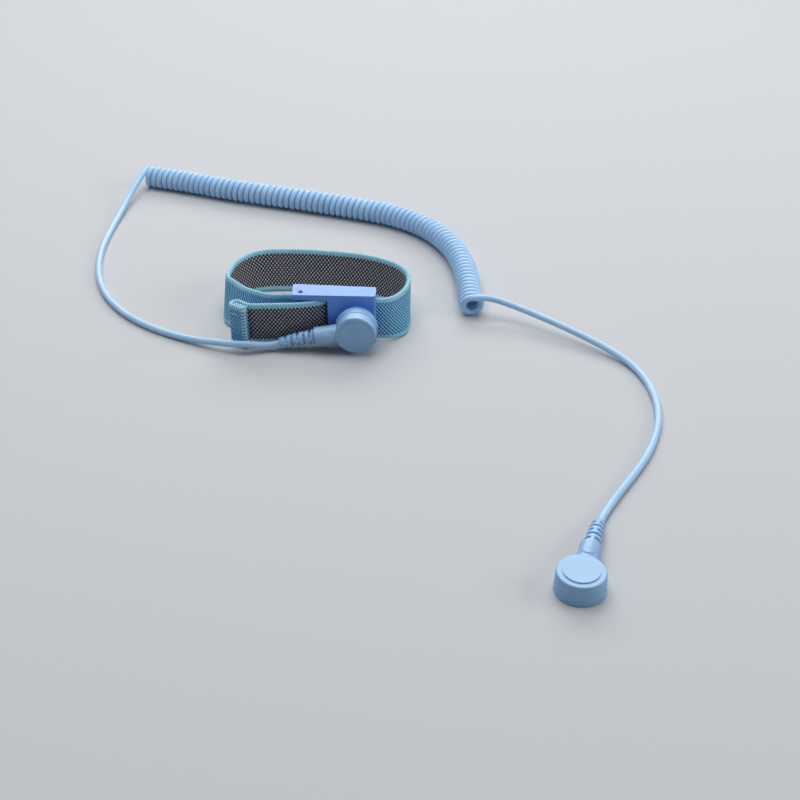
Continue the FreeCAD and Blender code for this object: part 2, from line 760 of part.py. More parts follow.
def makeLeads():
    floor = size("CordRadius")
    top = 2 * size("CoilRadius") - floor
    gap = size("CordGap")
    plug = plugPlace()
    earth = earthPlace()
    spots = [(-25.8, -26.7, 3.6), (-32.6, -26.2, 2.9), (-39.8, -23.2, 1.9), (-48.6, -20.0, floor),
             (-58.0, -15.9, floor), (-67.2, -10.9, floor), (-75.8, -4.8, floor),
             (-84.4, 3.6, floor), (-92.4, 14.6, floor), (-98.6, 28.4, floor),
             (-102.4, 43.6, floor), (-104.2, 59.6, floor), (-104.1, 75.6, floor),
             (-103.2, 91.0, 1.7), (-101.7, 105.0, 3.4), (-99.3, 117.6, 6.6)]
    route = [exitOf(plug, gap), exitOf(plug, 6.5)] + [FreeCAD.Vector(*spot) for spot in spots]
    route.append(FreeCAD.Vector(-96.4, 128.8, top))
    addSolid("lead_wrist", cordSolid("lead_wrist", route, floor))
    spots = [(64.6, 6.4, top), (72.4, 7.2, 8.5), (81.6, 3.6, 7.0), (91.0, -1.9, 5.9),
             (100.4, -8.0, 4.9), (109.8, -15.0, 3.9), (118.9, -22.0, 2.6), (126.6, -30.2, 1.6),
             (131.4, -41.0, floor), (133.8, -53.4, floor), (133.8, -66.2, floor),
             (131.0, -79.4, floor), (126.2, -92.4, floor), (119.6, -104.6, 1.7)]
    route = [FreeCAD.Vector(*spot) for spot in spots]
    route.append(FreeCAD.Vector(113.2, -114.4, 2.6))
    route.extend([exitOf(earth, 9.0), exitOf(earth, gap)])
    addSolid("lead_earth", cordSolid("lead_earth", route, floor))


def makeCoil():
    # Outer shape of the close-wound coil
    level = size("CoilRadius")
    spots = [(-96.3, 128.5), (-76.0, 122.9), (-55.4, 115.2), (-34.6, 109.2), (-13.6, 103.4),
             (7.4, 97.0), (27.4, 89.2), (43.6, 77.4), (54.4, 61.6), (61.0, 44.0),
             (63.8, 25.0), (64.6, 6.0)]
    route = [FreeCAD.Vector(x, y, level) for x, y in spots]
    addSolid("coil", cordSolid("coil", route, level))


makeClaspFrame()
makeContactPlate()
makeSnapStud()
makeStudRivet()
makeStudWasher()
makeCamLever()
makeLeverPin()
makeElasticBand()
makeHemStitches(makeBandTail())
makeHead("plug", plugPlace())
makeHead("earth", earthPlace())
makeResistor("plug_resistor", plugPlace())
makeCrimp("plug_crimp", plugPlace(), f"{resistorEnd} + FitGap")
makeCrimp("earth_crimp", earthPlace(), "SocketOuter + FitGap")
makeLeads()
makeCoil()

doc.recompute()
for item in doc.Objects:
    if "Invalid" in item.State or "Error" in item.State:
        raise RuntimeError(f"{item.Label} didn't compute: {item.State}")

kept = ("PartDesign::Body", "Part::Feature", "Part::Cylinder", "Part::Torus")
pieces = [item for item in doc.Objects if item.TypeId in kept]
for piece in pieces:
    if piece.Shape.isNull() or not piece.Shape.isValid() or piece.Shape.Volume <= 0:
        raise RuntimeError(f"{piece.Label} has no sound shape")

os.makedirs("parts", exist_ok=True)
for piece in pieces:
    piece.Shape.exportStep(f"parts/{piece.Label}.step")
    extent = piece.Shape.optimalBoundingBox(False)
    print(f"{piece.Label}: {len(piece.Shape.Solids)} solids, "
          f"X {extent.XMin:.2f} {extent.XMax:.2f}, Y {extent.YMin:.2f} {extent.YMax:.2f}, "
          f"Z {extent.ZMin:.2f} {extent.ZMax:.2f}")
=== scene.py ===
import math

import bmesh
import bpy
from mathutils import Matrix, Vector


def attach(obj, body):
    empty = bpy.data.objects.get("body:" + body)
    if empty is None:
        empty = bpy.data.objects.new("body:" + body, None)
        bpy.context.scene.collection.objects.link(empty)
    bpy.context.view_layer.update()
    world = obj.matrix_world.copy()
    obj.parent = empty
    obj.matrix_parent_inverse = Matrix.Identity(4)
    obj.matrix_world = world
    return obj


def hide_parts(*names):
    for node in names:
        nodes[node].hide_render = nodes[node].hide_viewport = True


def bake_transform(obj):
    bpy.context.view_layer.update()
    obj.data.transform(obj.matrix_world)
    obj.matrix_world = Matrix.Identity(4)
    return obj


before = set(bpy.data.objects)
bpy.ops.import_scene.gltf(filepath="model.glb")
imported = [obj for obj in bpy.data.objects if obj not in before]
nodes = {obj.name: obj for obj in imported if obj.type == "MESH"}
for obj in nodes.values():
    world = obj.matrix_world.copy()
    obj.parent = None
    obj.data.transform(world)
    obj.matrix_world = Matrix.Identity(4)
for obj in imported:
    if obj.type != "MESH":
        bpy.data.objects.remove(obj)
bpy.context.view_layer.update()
mm = 0.001
print("frame loaded:", len(nodes), "nodes")


# Camera at the photograph's place, looking down on the strap

camera = {
    "place": (0.05204, -0.48104, 0.288),
    "pitch": 55.8,
    "turn": 2.12,
    "lens": 60.3,
    "sensor": 36.0,
    "near": 0.01,
}


def addCamera(look):
    data = bpy.data.cameras.new("camera")
    data.lens = look["lens"]
    data.sensor_width = look["sensor"]
    data.clip_start = look["near"]
    eye = bpy.data.objects.new("camera", data)
    eye.location = look["place"]
    eye.rotation_euler = (math.radians(look["pitch"]), 0, math.radians(look["turn"]))
    bpy.context.scene.collection.objects.link(eye)
    bpy.context.scene.camera = eye


addCamera(camera)
print("camera placed")


# Shader maths: a signal is one socket, and sums and products of signals add Math nodes

class Signal:
    def __init__(self, graph, socket):
        self.graph = graph
        self.socket = socket

    def __add__(self, other):
        return self.graph.maths("ADD", self, other)

    def __radd__(self, other):
        return self.graph.maths("ADD", other, self)

    def __sub__(self, other):
        return self.graph.maths("SUBTRACT", self, other)

    def __rsub__(self, other):
        return self.graph.maths("SUBTRACT", other, self)

    def __mul__(self, other):
        return self.graph.maths("MULTIPLY", self, other)

    def __rmul__(self, other):
        return self.graph.maths("MULTIPLY", other, self)

    def __gt__(self, other):
        return self.graph.maths("GREATER_THAN", self, other)

    def __abs__(self):
        return self.graph.maths("ABSOLUTE", self)


class Graph:
    # The nodes of one material or world
    def __init__(self, tree):
        self.tree = tree
        tree.nodes.clear()

    def add(self, kind, settings=None, values=None, output=0):
        node = self.tree.nodes.new(kind)
        for name, value in (settings or {}).items():
            if name == "stops":
                self.fillRamp(node.color_ramp, value)
            else:
                setattr(node, name, value)
        for name, value in (values or {}).items():
            if isinstance(value, Signal):
                self.tree.links.new(value.socket, node.inputs[name])
            else:
                node.inputs[name].default_value = value
        return Signal(self, node.outputs[output]) if len(node.outputs) else None

    def fillRamp(self, ramp, stops):
        while len(ramp.elements) < len(stops):
            ramp.elements.new(1.0)
        for element, (place, colour) in zip(ramp.elements, stops):
            element.position = place
            element.color = (*colour, 1)

    def maths(self, operation, *terms):
        return self.add("ShaderNodeMath", {"operation": operation}, dict(enumerate(terms)))

    def wave(self, value, pitch):
        # A ridge from 0 to 1 at every pitch
        return 0.5 + 0.5 * self.maths("COSINE", value * (2 * math.pi / pitch))

    def larger(self, first, second):
        return self.maths("MAXIMUM", first, second)

    def step(self, value, low, high):
        return self.add("ShaderNodeMapRange", {"interpolation_type": "SMOOTHSTEP"},
                        {"Value": value, "From Min": low, "From Max": high})

    def blendColour(self, factor, first, second):
        first, second = [(*c, 1) if isinstance(c, tuple) else c for c in (first, second)]
        return self.add("ShaderNodeMix", {"data_type": "RGBA"}, {0: factor, 6: first, 7: second}, 2)

    def noise(self, where, scale, detail=2.0):
        return self.add("ShaderNodeTexNoise", {}, {"Vector": where, "Scale": scale, "Detail": detail})

    def place(self, stretch=(1, 1, 1)):
        # Place on the piece in metres, stretched where a finish runs one way
        spot = self.add("ShaderNodeTexCoord", {}, {}, "Object")
        return self.add("ShaderNodeMapping", {}, {"Vector": spot, "Scale": stretch})

    def bump(self, height, distance, strength=1.0):
        return self.add("ShaderNodeBump", {}, {"Height": height, "Distance": distance, "Strength": strength})


def newFinish(name):
    material = bpy.data.materials.new(name)
    material.use_nodes = True
    return material, Graph(material.node_tree)


def closeFinish(graph, values):
    shader = graph.add("ShaderNodeBsdfPrincipled", {}, values)
    graph.add("ShaderNodeOutputMaterial", {}, {"Surface": shader})


# Plastics: soft clouds change the colour and the gloss a little, and fine specks give the grain.
# Grain and depth are in metres, and scales are per metre

moulding = {"cloudScale": 140.0, "cloudDetail": 3.0, "patches": (0.35, 0.75), "cloudGloss": 0.10,
            "grainDetail": 2.0, "grainGloss": 0.06,
            "scatter": 0.06, "scatterReach": (0.0004, 0.0006, 0.0012)}
claspPlastic = {**moulding, "colour": (0.110, 0.285, 0.780), "worn": (0.135, 0.320, 0.800),
                "roughness": 0.34, "shine": 0.5, "grain": 0.00002, "grainScale": 2600.0}
headPlastic = {**moulding, "colour": (0.215, 0.420, 0.680), "worn": (0.250, 0.460, 0.720),
               "roughness": 0.40, "shine": 0.85, "grain": 0.00003, "grainScale": 2200.0}
cordJacket = {"cloudScale": 90.0, "cloudDetail": 2.0, "patches": (0.4, 0.8), "cloudGloss": 0.12,
              "grainDetail": 1.0, "grainGloss": 0.0,
              "scatter": 0.05, "scatterReach": (0.0003, 0.0005, 0.001),
              "colour": (0.370, 0.600, 0.880), "worn": (0.420, 0.650, 0.900),
              "roughness": 0.36, "shine": 0.5, "grain": 0.000015, "grainScale": 3000.0}


def plastic(name, look):
    material, graph = newFinish(name)
    spot = graph.place()
    cloud = graph.noise(spot, look["cloudScale"], look["cloudDetail"])
    speck = graph.noise(spot, look["grainScale"], look["grainDetail"])
    rough = look["roughness"] + look["cloudGloss"] * (cloud - 0.5)
    if look["grainGloss"]:
        rough = rough + look["grainGloss"] * (speck - 0.5)
    closeFinish(graph, {
        "Base Color": graph.blendColour(graph.step(cloud, *look["patches"]), look["colour"], look["worn"]),
        "Roughness": rough,
        "IOR": 1.5,
        "Specular IOR Level": look["shine"],
        "Subsurface Weight": look["scatter"],
        "Subsurface Radius": look["scatterReach"],
        "Normal": graph.bump(speck, look["grain"]),
    })
    return material


# The band's weave: lengths and pitches in millimetres of the band, pairs are where a step starts and ends

webbing = {
    "width": 18.0,
    "slope": 0.78,
    "waver": 0.30,
    "waverScale": 0.35,
    "toneScale": 1.7,
    "edge": (0.420, 0.760, 0.880),
    "edgeShade": (0.090, 0.370, 0.580),
    "edgePitch": 1.05,
    "edgeSlope": 0.7,
    "edgeBlend": 0.15,
    "edgeRibs": (0.0, 0.70),
    "edgeHeight": 0.8,
    "roughness": 0.78,
    "sheen": 0.05,
    "sheenSpread": 0.5,
    "shine": 0.35,
    "depth": 0.00020,
    "depthShare": 0.9,
}
outsideWeave = {
    **webbing,
    "pitch": 1.36,
    "border": 1.8,
    "rising": (0.45, 0.98),
    "falling": (0.38, 0.95),
    "risingShare": 0.72,
    "dullest": 0.74,
    "toneGain": 0.5,
    "gloss": 0.075,
    "stops": [(0.10, (0.008, 0.035, 0.140)), (0.45, (0.034, 0.205, 0.530)), (0.88, (0.260, 0.680, 0.920))],
}
insideWeave = {
    **webbing,
    "pitch": 1.50,
    "border": 1.9,
    "rising": (0.55, 0.98),
    "falling": (0.50, 0.98),
    "risingShare": 0.8,
    "knots": (0.40, 0.85),
    "yarnHeight": 0.26,
    "dullest": 0.62,
    "toneGain": 0.75,
    "gloss": 0.15,
    "shown": (0.04, 1.0),
    "black": (0.006, 0.006, 0.012),
    "silver": (0.700, 0.700, 0.800),
}


def wovenFabric(name, look):
    # Diagonal yarns cross all over, and a plain light edge runs along both sides
    material, graph = newFinish(name)
    flat = graph.add("ShaderNodeUVMap", {"uv_map": "weave"})
    along, across = [graph.add("ShaderNodeSeparateXYZ", {}, {0: flat}, axis) for axis in (0, 1)]
    along = along + look["waver"] * (graph.noise(flat, look["waverScale"]) - 0.5)
    rising = graph.wave(along - across * look["slope"], look["pitch"])
    falling = graph.wave(along + across * look["slope"], look["pitch"])
    yarns = graph.larger(look["risingShare"] * graph.step(rising, *look["rising"]),
                         graph.step(falling, *look["falling"]))
    tone = look["dullest"] + look["toneGain"] * graph.noise(flat, look["toneScale"], 1.0)
    if "knots" in look:
        knots = graph.step(rising, *look["knots"]) * graph.step(falling, *look["knots"])
        height = (look["yarnHeight"] * yarns + knots) * tone
        body = graph.blendColour(graph.step(height, *look["shown"]), look["black"], look["silver"])
    else:
        height = yarns * tone
        body = graph.add("ShaderNodeValToRGB", {"stops": look["stops"]}, {"Fac": height})
    # Light edge with its own short ribs
    reach = look["width"] / 2 - look["border"]
    edge = graph.step(abs(across), reach - look["edgeBlend"], reach + look["edgeBlend"])
    rib = graph.wave(along + abs(across) * look["edgeSlope"], look["edgePitch"])
    edgeTone = graph.blendColour(graph.step(rib, *look["edgeRibs"]), look["edgeShade"], look["edge"])
    height = height * (1 - edge) + look["edgeHeight"] * rib * edge
    closeFinish(graph, {
        "Base Color": graph.blendColour(edge, body, edgeTone),
        "Roughness": look["roughness"] - look["gloss"] * height,
        "Sheen Weight": look["sheen"],
        "Sheen Roughness": look["sheenSpread"],
        "Specular IOR Level": look["shine"],
        "Normal": graph.bump(height, look["depth"], look["depthShare"]),
    })
    return material


paleThread = {"colour": (0.60, 0.85, 0.93), "shade": 0.7, "fibreScale": 4200.0, "patches": (0.3, 0.7),
              "roughness": 0.7, "sheen": 0.2, "grain": 0.00004}


def threadFinish(name, look):
    material, graph = newFinish(name)
    fibre = graph.noise(graph.place(), look["fibreScale"])
    shade = tuple(look["shade"] * c for c in look["colour"])
    closeFinish(graph, {
        "Base Color": graph.blendColour(graph.step(fibre, *look["patches"]), shade, look["colour"]),
        "Roughness": look["roughness"],
        "Sheen Weight": look["sheen"],
        "Normal": graph.bump(fibre, look["grain"]),
    })
    return material


# Metals: streaks run along the axis that has the smallest number in the metal's stretch

streaks = {"scale": 6.0, "detail": 3.0, "patches": (0.3, 0.7), "shade": 0.82, "gloss": 0.14,
           "grain": 0.000008}
metals = {
    "plateSteel": {"colour": (0.62, 0.62, 0.63), "roughness": 0.30, "stretch": (12, 900, 900)},
    # The lever pin's steel is painted near-black blue: painted shade standing in for the dark hole that the
    # pin sits in
    "pinSteelPaintedShade": {"colour": (0.03, 0.05, 0.12), "roughness": 0.60, "stretch": (200, 200, 200)},
    "snapNickel": {"colour": (0.72, 0.70, 0.67), "roughness": 0.16, "stretch": (220, 220, 220)},
    "springWire": {"colour": (0.55, 0.55, 0.56), "roughness": 0.28, "stretch": (260, 260, 260)},
    "crimpBrass": {"colour": (0.72, 0.52, 0.24), "roughness": 0.26, "stretch": (300, 300, 300)},
}


def metal(name, look, marks):
    material, graph = newFinish(name)
    streak = graph.noise(graph.place(look["stretch"]), marks["scale"], marks["detail"])
    shade = tuple(marks["shade"] * c for c in look["colour"])
    closeFinish(graph, {
        "Base Color": graph.blendColour(graph.step(streak, *marks["patches"]), shade, look["colour"]),
        "Metallic": 1.0,
        "Roughness": look["roughness"] + marks["gloss"] * (streak - 0.5),
        "Normal": graph.bump(streak, marks["grain"]),
    })
    return material


# Painted rings: start, pitch and width are shares of the resistor's length

resistorCoat = {
    "body": (0.10, 0.34, 0.46),
    "bands": [(0.30, 0.16, 0.06), (0.01, 0.01, 0.01), (0.05, 0.28, 0.08), (0.45, 0.30, 0.08)],
    "start": 0.25,
    "pitch": 0.17,
    "width": 0.06,
    "cloudScale": 700.0,
    "roughness": 0.3,
    "cloudGloss": 0.1,
    "grain": 0.00002,
}


def bandedCoat(name, look):
    material, graph = newFinish(name)
    share = graph.add("ShaderNodeTexCoord", {}, {}, "Generated")
    along = graph.add("ShaderNodeSeparateXYZ", {}, {0: share}, 0)
    colour = look["body"]
    for number, paint in enumerate(look["bands"]):
        centre = look["start"] + number * look["pitch"]
        ring = 1 - (abs(along - centre) > look["width"] / 2)
        colour = graph.blendColour(ring, colour, paint)
    cloud = graph.noise(graph.place(), look["cloudScale"])
    closeFinish(graph, {
        "Base Color": colour,
        "Roughness": look["roughness"] + look["cloudGloss"] * cloud,
        "Normal": graph.bump(cloud, look["grain"]),
    })
    return material


finishes = {
    "clasp": plastic("claspPlastic", claspPlastic),
    "head": plastic("headMoulding", headPlastic),
    "jacket": plastic("cordJacket", cordJacket),
    "outside": wovenFabric("webbingOutside", outsideWeave),
    "inside": wovenFabric("webbingInside", insideWeave),
    "thread": threadFinish("paleThread", paleThread),
    "resistor": bandedCoat("resistorCoat", resistorCoat),
}
for metalName, metalLook in metals.items():
    finishes[metalName] = metal(metalName, metalLook, streaks)
print("finishes made:", len(finishes))


# Lines, rings and tubes

def splineLine(points, resolution):
    # The points of a smooth spline that has these control points
    data = bpy.data.curves.new("route", "CURVE")
    data.dimensions = "3D"
    data.resolution_u = resolution
    spline = data.splines.new("NURBS")
    spline.points.add(len(points) - 1)
    for knot, point in zip(spline.points, points):
        knot.co = (*point, 1)
    spline.order_u = 3
    spline.use_endpoint_u = True
    spline.resolution_u = resolution
    holder = bpy.data.objects.new("route", data)
    mesh = bpy.data.meshes.new_from_object(holder)
    line = [vertex.co.copy() for vertex in mesh.vertices]
    bpy.data.meshes.remove(mesh)
    bpy.data.curves.remove(data)
    return line


def lengthOf(line):
    return sum((after - before).length for before, after in zip(line, line[1:]))


def evenPlaces(line, count):
    # For places at even distances along the line: the leg that each is on, and its share of that leg
    reached = [0.0]
    for before, after in zip(line, line[1:]):
        reached.append(reached[-1] + (after - before).length)
    places = []
    leg = 0
    for number in range(count + 1):
        distance = reached[-1] * number / count
        while leg < len(line) - 2 and reached[leg + 1] < distance:
            leg += 1
        places.append((leg, (distance - reached[leg]) / (reached[leg + 1] - reached[leg])))
    return places


def onLeg(line, leg, share):
    return line[leg].lerp(line[leg + 1], share)


def thinOut(line, gap):
    # The line without the points that come too soon after the one before
    kept = [line[0]]
    for point in line[1:-1]:
        if (point - kept[-1]).length >= gap and (point - line[-1]).length >= gap / 2:
            kept.append(point)
    return kept + [line[-1]]


def smooth(value, low, high):
    share = min(1.0, max(0.0, (value - low) / (high - low)))
    return share * share * (3 - 2 * share)


def framesAlong(line):
    # Two directions across the line at each point, without twist
    frames = []
    side = None
    for before, after in zip([line[0]] + line[:-1], line[1:] + [line[-1]]):
        ahead = (after - before).normalized()
        side = side or ahead.orthogonal()
        side = (side - ahead * side.dot(ahead)).normalized()
        frames.append((side, ahead.cross(side)))
    return frames


def anglesRound(sides):
    return [2 * math.pi * number / sides for number in range(sides)]


def joinRings(mesh, rings):
    # Faces from each ring of points to the next, and one over each end
    for ring, following in zip(rings, rings[1:]):
        for number in range(len(ring)):
            other = (number + 1) % len(ring)
            mesh.faces.new((ring[number], ring[other], following[other], following[number]))
    mesh.faces.new(reversed(rings[0]))
    mesh.faces.new(rings[-1])


def layTube(mesh, line, frames, radius, sides):
    rings = []
    for place, (first, second) in zip(line, frames):
        rings.append([mesh.verts.new(place + radius * (math.cos(angle) * first + math.sin(angle) * second))
                      for angle in anglesRound(sides)])
    joinRings(mesh, rings)


def finishMesh(name, mesh, finish, crease=math.pi):
    # Edges that turn by more than the crease angle stay sharp, and so do flat ends
    for face in mesh.faces:
        face.smooth = len(face.verts) < 5
    for edge in mesh.edges:
        edge.smooth = edge.calc_face_angle(0.0) < crease
    data = bpy.data.meshes.new(name)
    mesh.to_mesh(data)
    mesh.free()
    for material in finish:
        data.materials.append(material)
    piece = bpy.data.objects.new(name, data)
    bpy.context.scene.collection.objects.link(piece)
    return piece


# Snap heads: where each stands, and which way its strain relief bends

droop = math.radians(10.0)
earthTurn = math.radians(74.5)
plug = {
    "place": Matrix((
        (-math.cos(droop), math.sin(droop), 0, 17.5 * mm),
        (0, 0, -1, -19.4 * mm),
        (-math.sin(droop), -math.cos(droop), 0, 9.7 * mm),
        (0, 0, 0, 1))),
    "bend": math.radians(7.0),
    "bendTo": (0, 0.75, 0.66),
    "body": "wrist_plug",
}
earth = {
    "place": Matrix.Translation((97.2 * mm, -162.0 * mm, 0)) @ Matrix.Rotation(earthTurn, 4, "Z"),
    "bend": math.radians(13.0),
    "bendTo": (0, 0, -1),
    "body": "cord_set",
}
# The strain relief, in millimetres. The edges are pairs: how far from the end, and how far in from the side
boot = {
    "neckEnd": 16.6,
    "height": 3.9,
    "length": 14.8,
    "wide": 2.95,
    "narrow": 2.25,
    "waist": 1.85,
    "waistSpan": (-1.0, 0.30),
    "core": 1.62,
    "firstSlot": 1.95,
    "slotPitch": 2.52,
    "slots": 5,
    "slotWidth": 0.78,
    "web": 0.85,
    "webBlend": 0.2,
    "edge": 0.13,
    "crown": 0.06,
    "crownStep": 0.35,
    "neckEdge": [(0.34, 0.45), (0.37, 0.22), (0.45, 0.08), (0.56, 0.0)],
    "cordEdge": [(0.32, 0.0), (0.16, 0.06), (0.05, 0.17), (0.0, 0.36)],
    "slotSteps": (-5 / 9, 0, 4 / 9, 1),
    "clearEnd": 0.6,
    "mouth": [(0.02, 1.60), (0.8, 1.50)],
    "sides": 64,
    "crease": 40,
}


def bootSpot(head, along):
    # Centre of the strain relief at a distance from the neck, and the directions there
    turn = head["bend"] * along / boot["length"]
    arm = boot["length"] / head["bend"]
    toward = Vector(head["bendTo"])
    spot = Vector((boot["neckEnd"] + arm * math.sin(turn), 0, boot["height"]))
    spot += toward * arm * (1 - math.cos(turn))
    ahead = Vector((1, 0, 0)) * math.cos(turn) + toward * math.sin(turn)
    outward = (Vector((0, 0, 1)) - ahead * ahead.z).normalized()
    facing = head["place"].to_3x3()
    return head["place"] @ (spot * mm), facing @ ahead, facing @ outward


def exitOf(head, distance):
    # On the cord's axis, a distance past the end of the strain relief
    spot, ahead, _ = bootSpot(head, boot["length"])
    return spot + ahead * distance * mm


def slotCentres(look):
    return [look["firstSlot"] + number * look["slotPitch"] for number in range(look["slots"])]


def bootRadius(look, along, angle):
    # Slots on two sides and on the faces in turn leave a thin web between them
    radius = look["wide"] + (look["narrow"] - look["wide"]) * along / look["length"]
    radius -= look["crown"] * math.cos(2 * math.pi * (along - look["firstSlot"]) / look["slotPitch"])
    half = look["slotWidth"] / 2
    for number, centre in enumerate(slotCentres(look)):
        inside = 1 - smooth(abs(along - centre), half - look["edge"], half + look["edge"])
        reach = radius * abs(math.cos(angle) if number % 2 else math.sin(angle))
        cut = inside * smooth(reach, look["web"] - look["webBlend"], look["web"] + look["webBlend"])
        radius -= cut * (radius - look["core"])
    return radius


def bootRings(look):
    # Distances from the neck, close together where a slot begins and ends, with how far the edge is rounded
    rings = list(look["neckEdge"])
    for centre in slotCentres(look):
        rings.append((centre, 0.0))
        for share in look["slotSteps"]:
            reach = look["slotWidth"] / 2 + share * look["edge"]
            rings += [(centre - reach, 0.0), (centre + reach, 0.0)]
        crown = centre + look["slotPitch"] / 2
        if crown < look["length"] - look["clearEnd"]:
            rings += [(crown + side * look["crownStep"], 0.0) for side in (-1, 0, 1)]
    rings += [(look["length"] - back, rounded) for back, rounded in look["cordEdge"]]
    return sorted(rings)


def addBoot(name, node, head, look):
    mesh = bmesh.new()
    angles = anglesRound(look["sides"])
    rows = [(along, [look["waist"]] * len(angles)) for along in look["waistSpan"]]
    for along, rounded in bootRings(look):
        rows.append((along, [bootRadius(look, along, angle) - rounded for angle in angles]))
    rows += [(look["length"] - back, [radius] * len(angles)) for back, radius in look["mouth"]]
    rings = []
    for along, radii in rows:
        centre, ahead, outward = bootSpot(head, along)
        side = outward.cross(ahead)
        ring = []
        for angle, radius in zip(angles, radii):
            direction = outward * math.cos(angle) + side * math.sin(angle)
            ring.append(mesh.verts.new(centre + direction * radius * mm))
        rings.append(ring)
    joinRings(mesh, rings)
    bmesh.ops.recalc_face_normals(mesh, faces=mesh.faces)
    piece = finishMesh(name, mesh, [finishes["head"]], math.radians(look["crease"]))
    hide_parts(node)
    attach(piece, head["body"])


addBoot("plugBoot", "plug_strain_relief", plug, boot)
addBoot("earthBoot", "earth_strain_relief", earth, boot)
print("strain reliefs made")


# A low round pad on the neck of each head. The profile is pairs: shares of the radius and of the height

neckPad = {
    "radius": 2.35,
    "height": 0.26,
    "along": 11.5,
    "neck": 3.7,
    "sides": 48,
    "profile": [(0.0, 1.0), (0.4, 1.0), (0.8, 1.0), (0.92, 0.92), (0.98, 0.62), (1.0, 0.2), (1.02, -1.2)],
}


def addNeckPad(name, head, look):
    mesh = bmesh.new()
    rings = []
    for share, height in look["profile"]:
        radius = look["radius"] * share
        ring = []
        for angle in anglesRound(look["sides"] if share else 1):
            across = radius * math.sin(angle)
            level = boot["height"] + math.sqrt(look["neck"] ** 2 - across ** 2) + look["height"] * height
            spot = Vector((look["along"] + radius * math.cos(angle), across, level))
            ring.append(mesh.verts.new(head["place"] @ (spot * mm)))
        rings.append(ring)
    for number in range(look["sides"]):
        other = (number + 1) % look["sides"]
        mesh.faces.new((rings[0][0], rings[1][number], rings[1][other]))
        for ring, following in zip(rings[1:], rings[2:]):
            mesh.faces.new((ring[number], following[number], following[other], ring[other]))
    mesh.faces.new(rings[-1])
    bmesh.ops.recalc_face_normals(mesh, faces=mesh.faces)
    piece = finishMesh(name, mesh, [finishes["head"]])
    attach(piece, head["body"])


addNeckPad("plugNeckPad", plug, neckPad)
addNeckPad("earthNeckPad", earth, neckPad)
print("neck pads set")


# The cord is one spline: wrist lead, coil, earth lead

cord = {
    "diameter": 2.8 * mm,
    "coilRadius": 3.8 * mm,
    "coilHeight": 5.2 * mm,
    "turns": 76,
    "pointsPerTurn": 12,
    "sides": 12,
    "intoRelief": 1.5,
    "pastPlug": 4.5,
    "pastEarth": 3.6,
    "coilResolution": 24,
    "resolution": 6,
    "gap": 0.62 * mm,
}
wristRoute = [(-25.8, -26.7, 4.7), (-32.6, -26.3, 4.2), (-39.8, -23.4, 3.1), (-48.6, -20.0, 1.9),
              (-58.0, -15.9, 1.4), (-67.2, -10.9, 1.4), (-75.8, -4.8, 1.4), (-84.4, 3.6, 1.4),
              (-92.4, 14.6, 1.4), (-98.6, 28.4, 1.4), (-102.4, 43.6, 1.4), (-104.2, 59.6, 1.4),
              (-104.1, 75.6, 1.4), (-103.2, 91.0, 1.7), (-101.7, 105.0, 3.4), (-99.3, 117.6, 6.6)]
earthRoute = [(72.4, 7.2, 8.5), (81.6, 3.6, 7.0), (91.0, -1.9, 5.9), (100.4, -8.0, 4.9),
              (109.8, -15.0, 3.9), (118.9, -22.0, 2.6), (126.6, -30.2, 1.6), (131.4, -41.0, 1.4),
              (133.8, -53.4, 1.4), (133.8, -66.2, 1.4), (131.0, -79.4, 1.4), (126.2, -92.4, 1.4),
              (119.6, -104.6, 1.4), (113.4, -115.2, 1.4)]
coilRoute = [(-96.3, 128.5), (-76.0, 122.9), (-55.4, 115.2), (-34.6, 109.2), (-13.6, 103.4), (7.4, 97.0),
             (27.7, 89.9), (43.9, 78.0), (54.5, 61.9), (60.4, 44.2), (62.8, 25.0), (64.2, 6.0)]


def coilPoints(look):
    # Control points of the turns, wound round the coil's own spline from its top
    axis = splineLine([Vector((x * mm, y * mm, look["coilHeight"])) for x, y in coilRoute],
                      look["coilResolution"])
    places = evenPlaces(axis, look["turns"] * look["pointsPerTurn"])
    centres = [onLeg(axis, leg, share) for leg, share in places]
    radius = look["coilRadius"] / math.cos(math.pi / look["pointsPerTurn"])
    points = []
    for number, centre in enumerate(centres):
        ahead = centres[min(number + 1, len(centres) - 1)] - centres[max(number - 1, 0)]
        left = Vector((-ahead.y, ahead.x, 0)).normalized()
        angle = 2 * math.pi * number / look["pointsPerTurn"]
        points.append(centre + radius * (Vector((0, 0, 1)) * math.cos(angle) + left * math.sin(angle)))
    return points


def layCord(look):
    turns = coilPoints(look)
    first = [exitOf(plug, -look["intoRelief"]), exitOf(plug, look["pastPlug"])]
    first += [Vector(spot) * mm for spot in wristRoute]
    last = [Vector(spot) * mm for spot in earthRoute]
    last += [exitOf(earth, look["pastEarth"]), exitOf(earth, -look["intoRelief"])]
    line = thinOut(splineLine(first + turns + last, look["resolution"]), look["gap"])
    frames = framesAlong(line)
    cut = min(range(len(line)), key=lambda number: (line[number] - turns[0]).length)
    pieces = []
    for name, part in (("wristLead", slice(0, cut + 1)), ("coiledLead", slice(cut, len(line)))):
        mesh = bmesh.new()
        layTube(mesh, line[part], frames[part], look["diameter"] / 2, look["sides"])
        piece = finishMesh(name, mesh, [finishes["jacket"]])
        pieces.append((piece, line[part]))
    return pieces


(wristLead, wristLine), (coiledLead, coilLine) = layCord(cord)
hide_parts("lead_wrist")
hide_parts("coil", "lead_earth")
exitOf(plug, 0)
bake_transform(wristLead)
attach(coiledLead, "cord_set")
exitOf(plug, 0)
round(lengthOf(wristLine), 3)
round(lengthOf(coilLine), 3)
print("cord laid: %.3f m and %.3f m" % (lengthOf(wristLine), lengthOf(coilLine)))


# Woven band: a ribbon with round edges, in millimetres

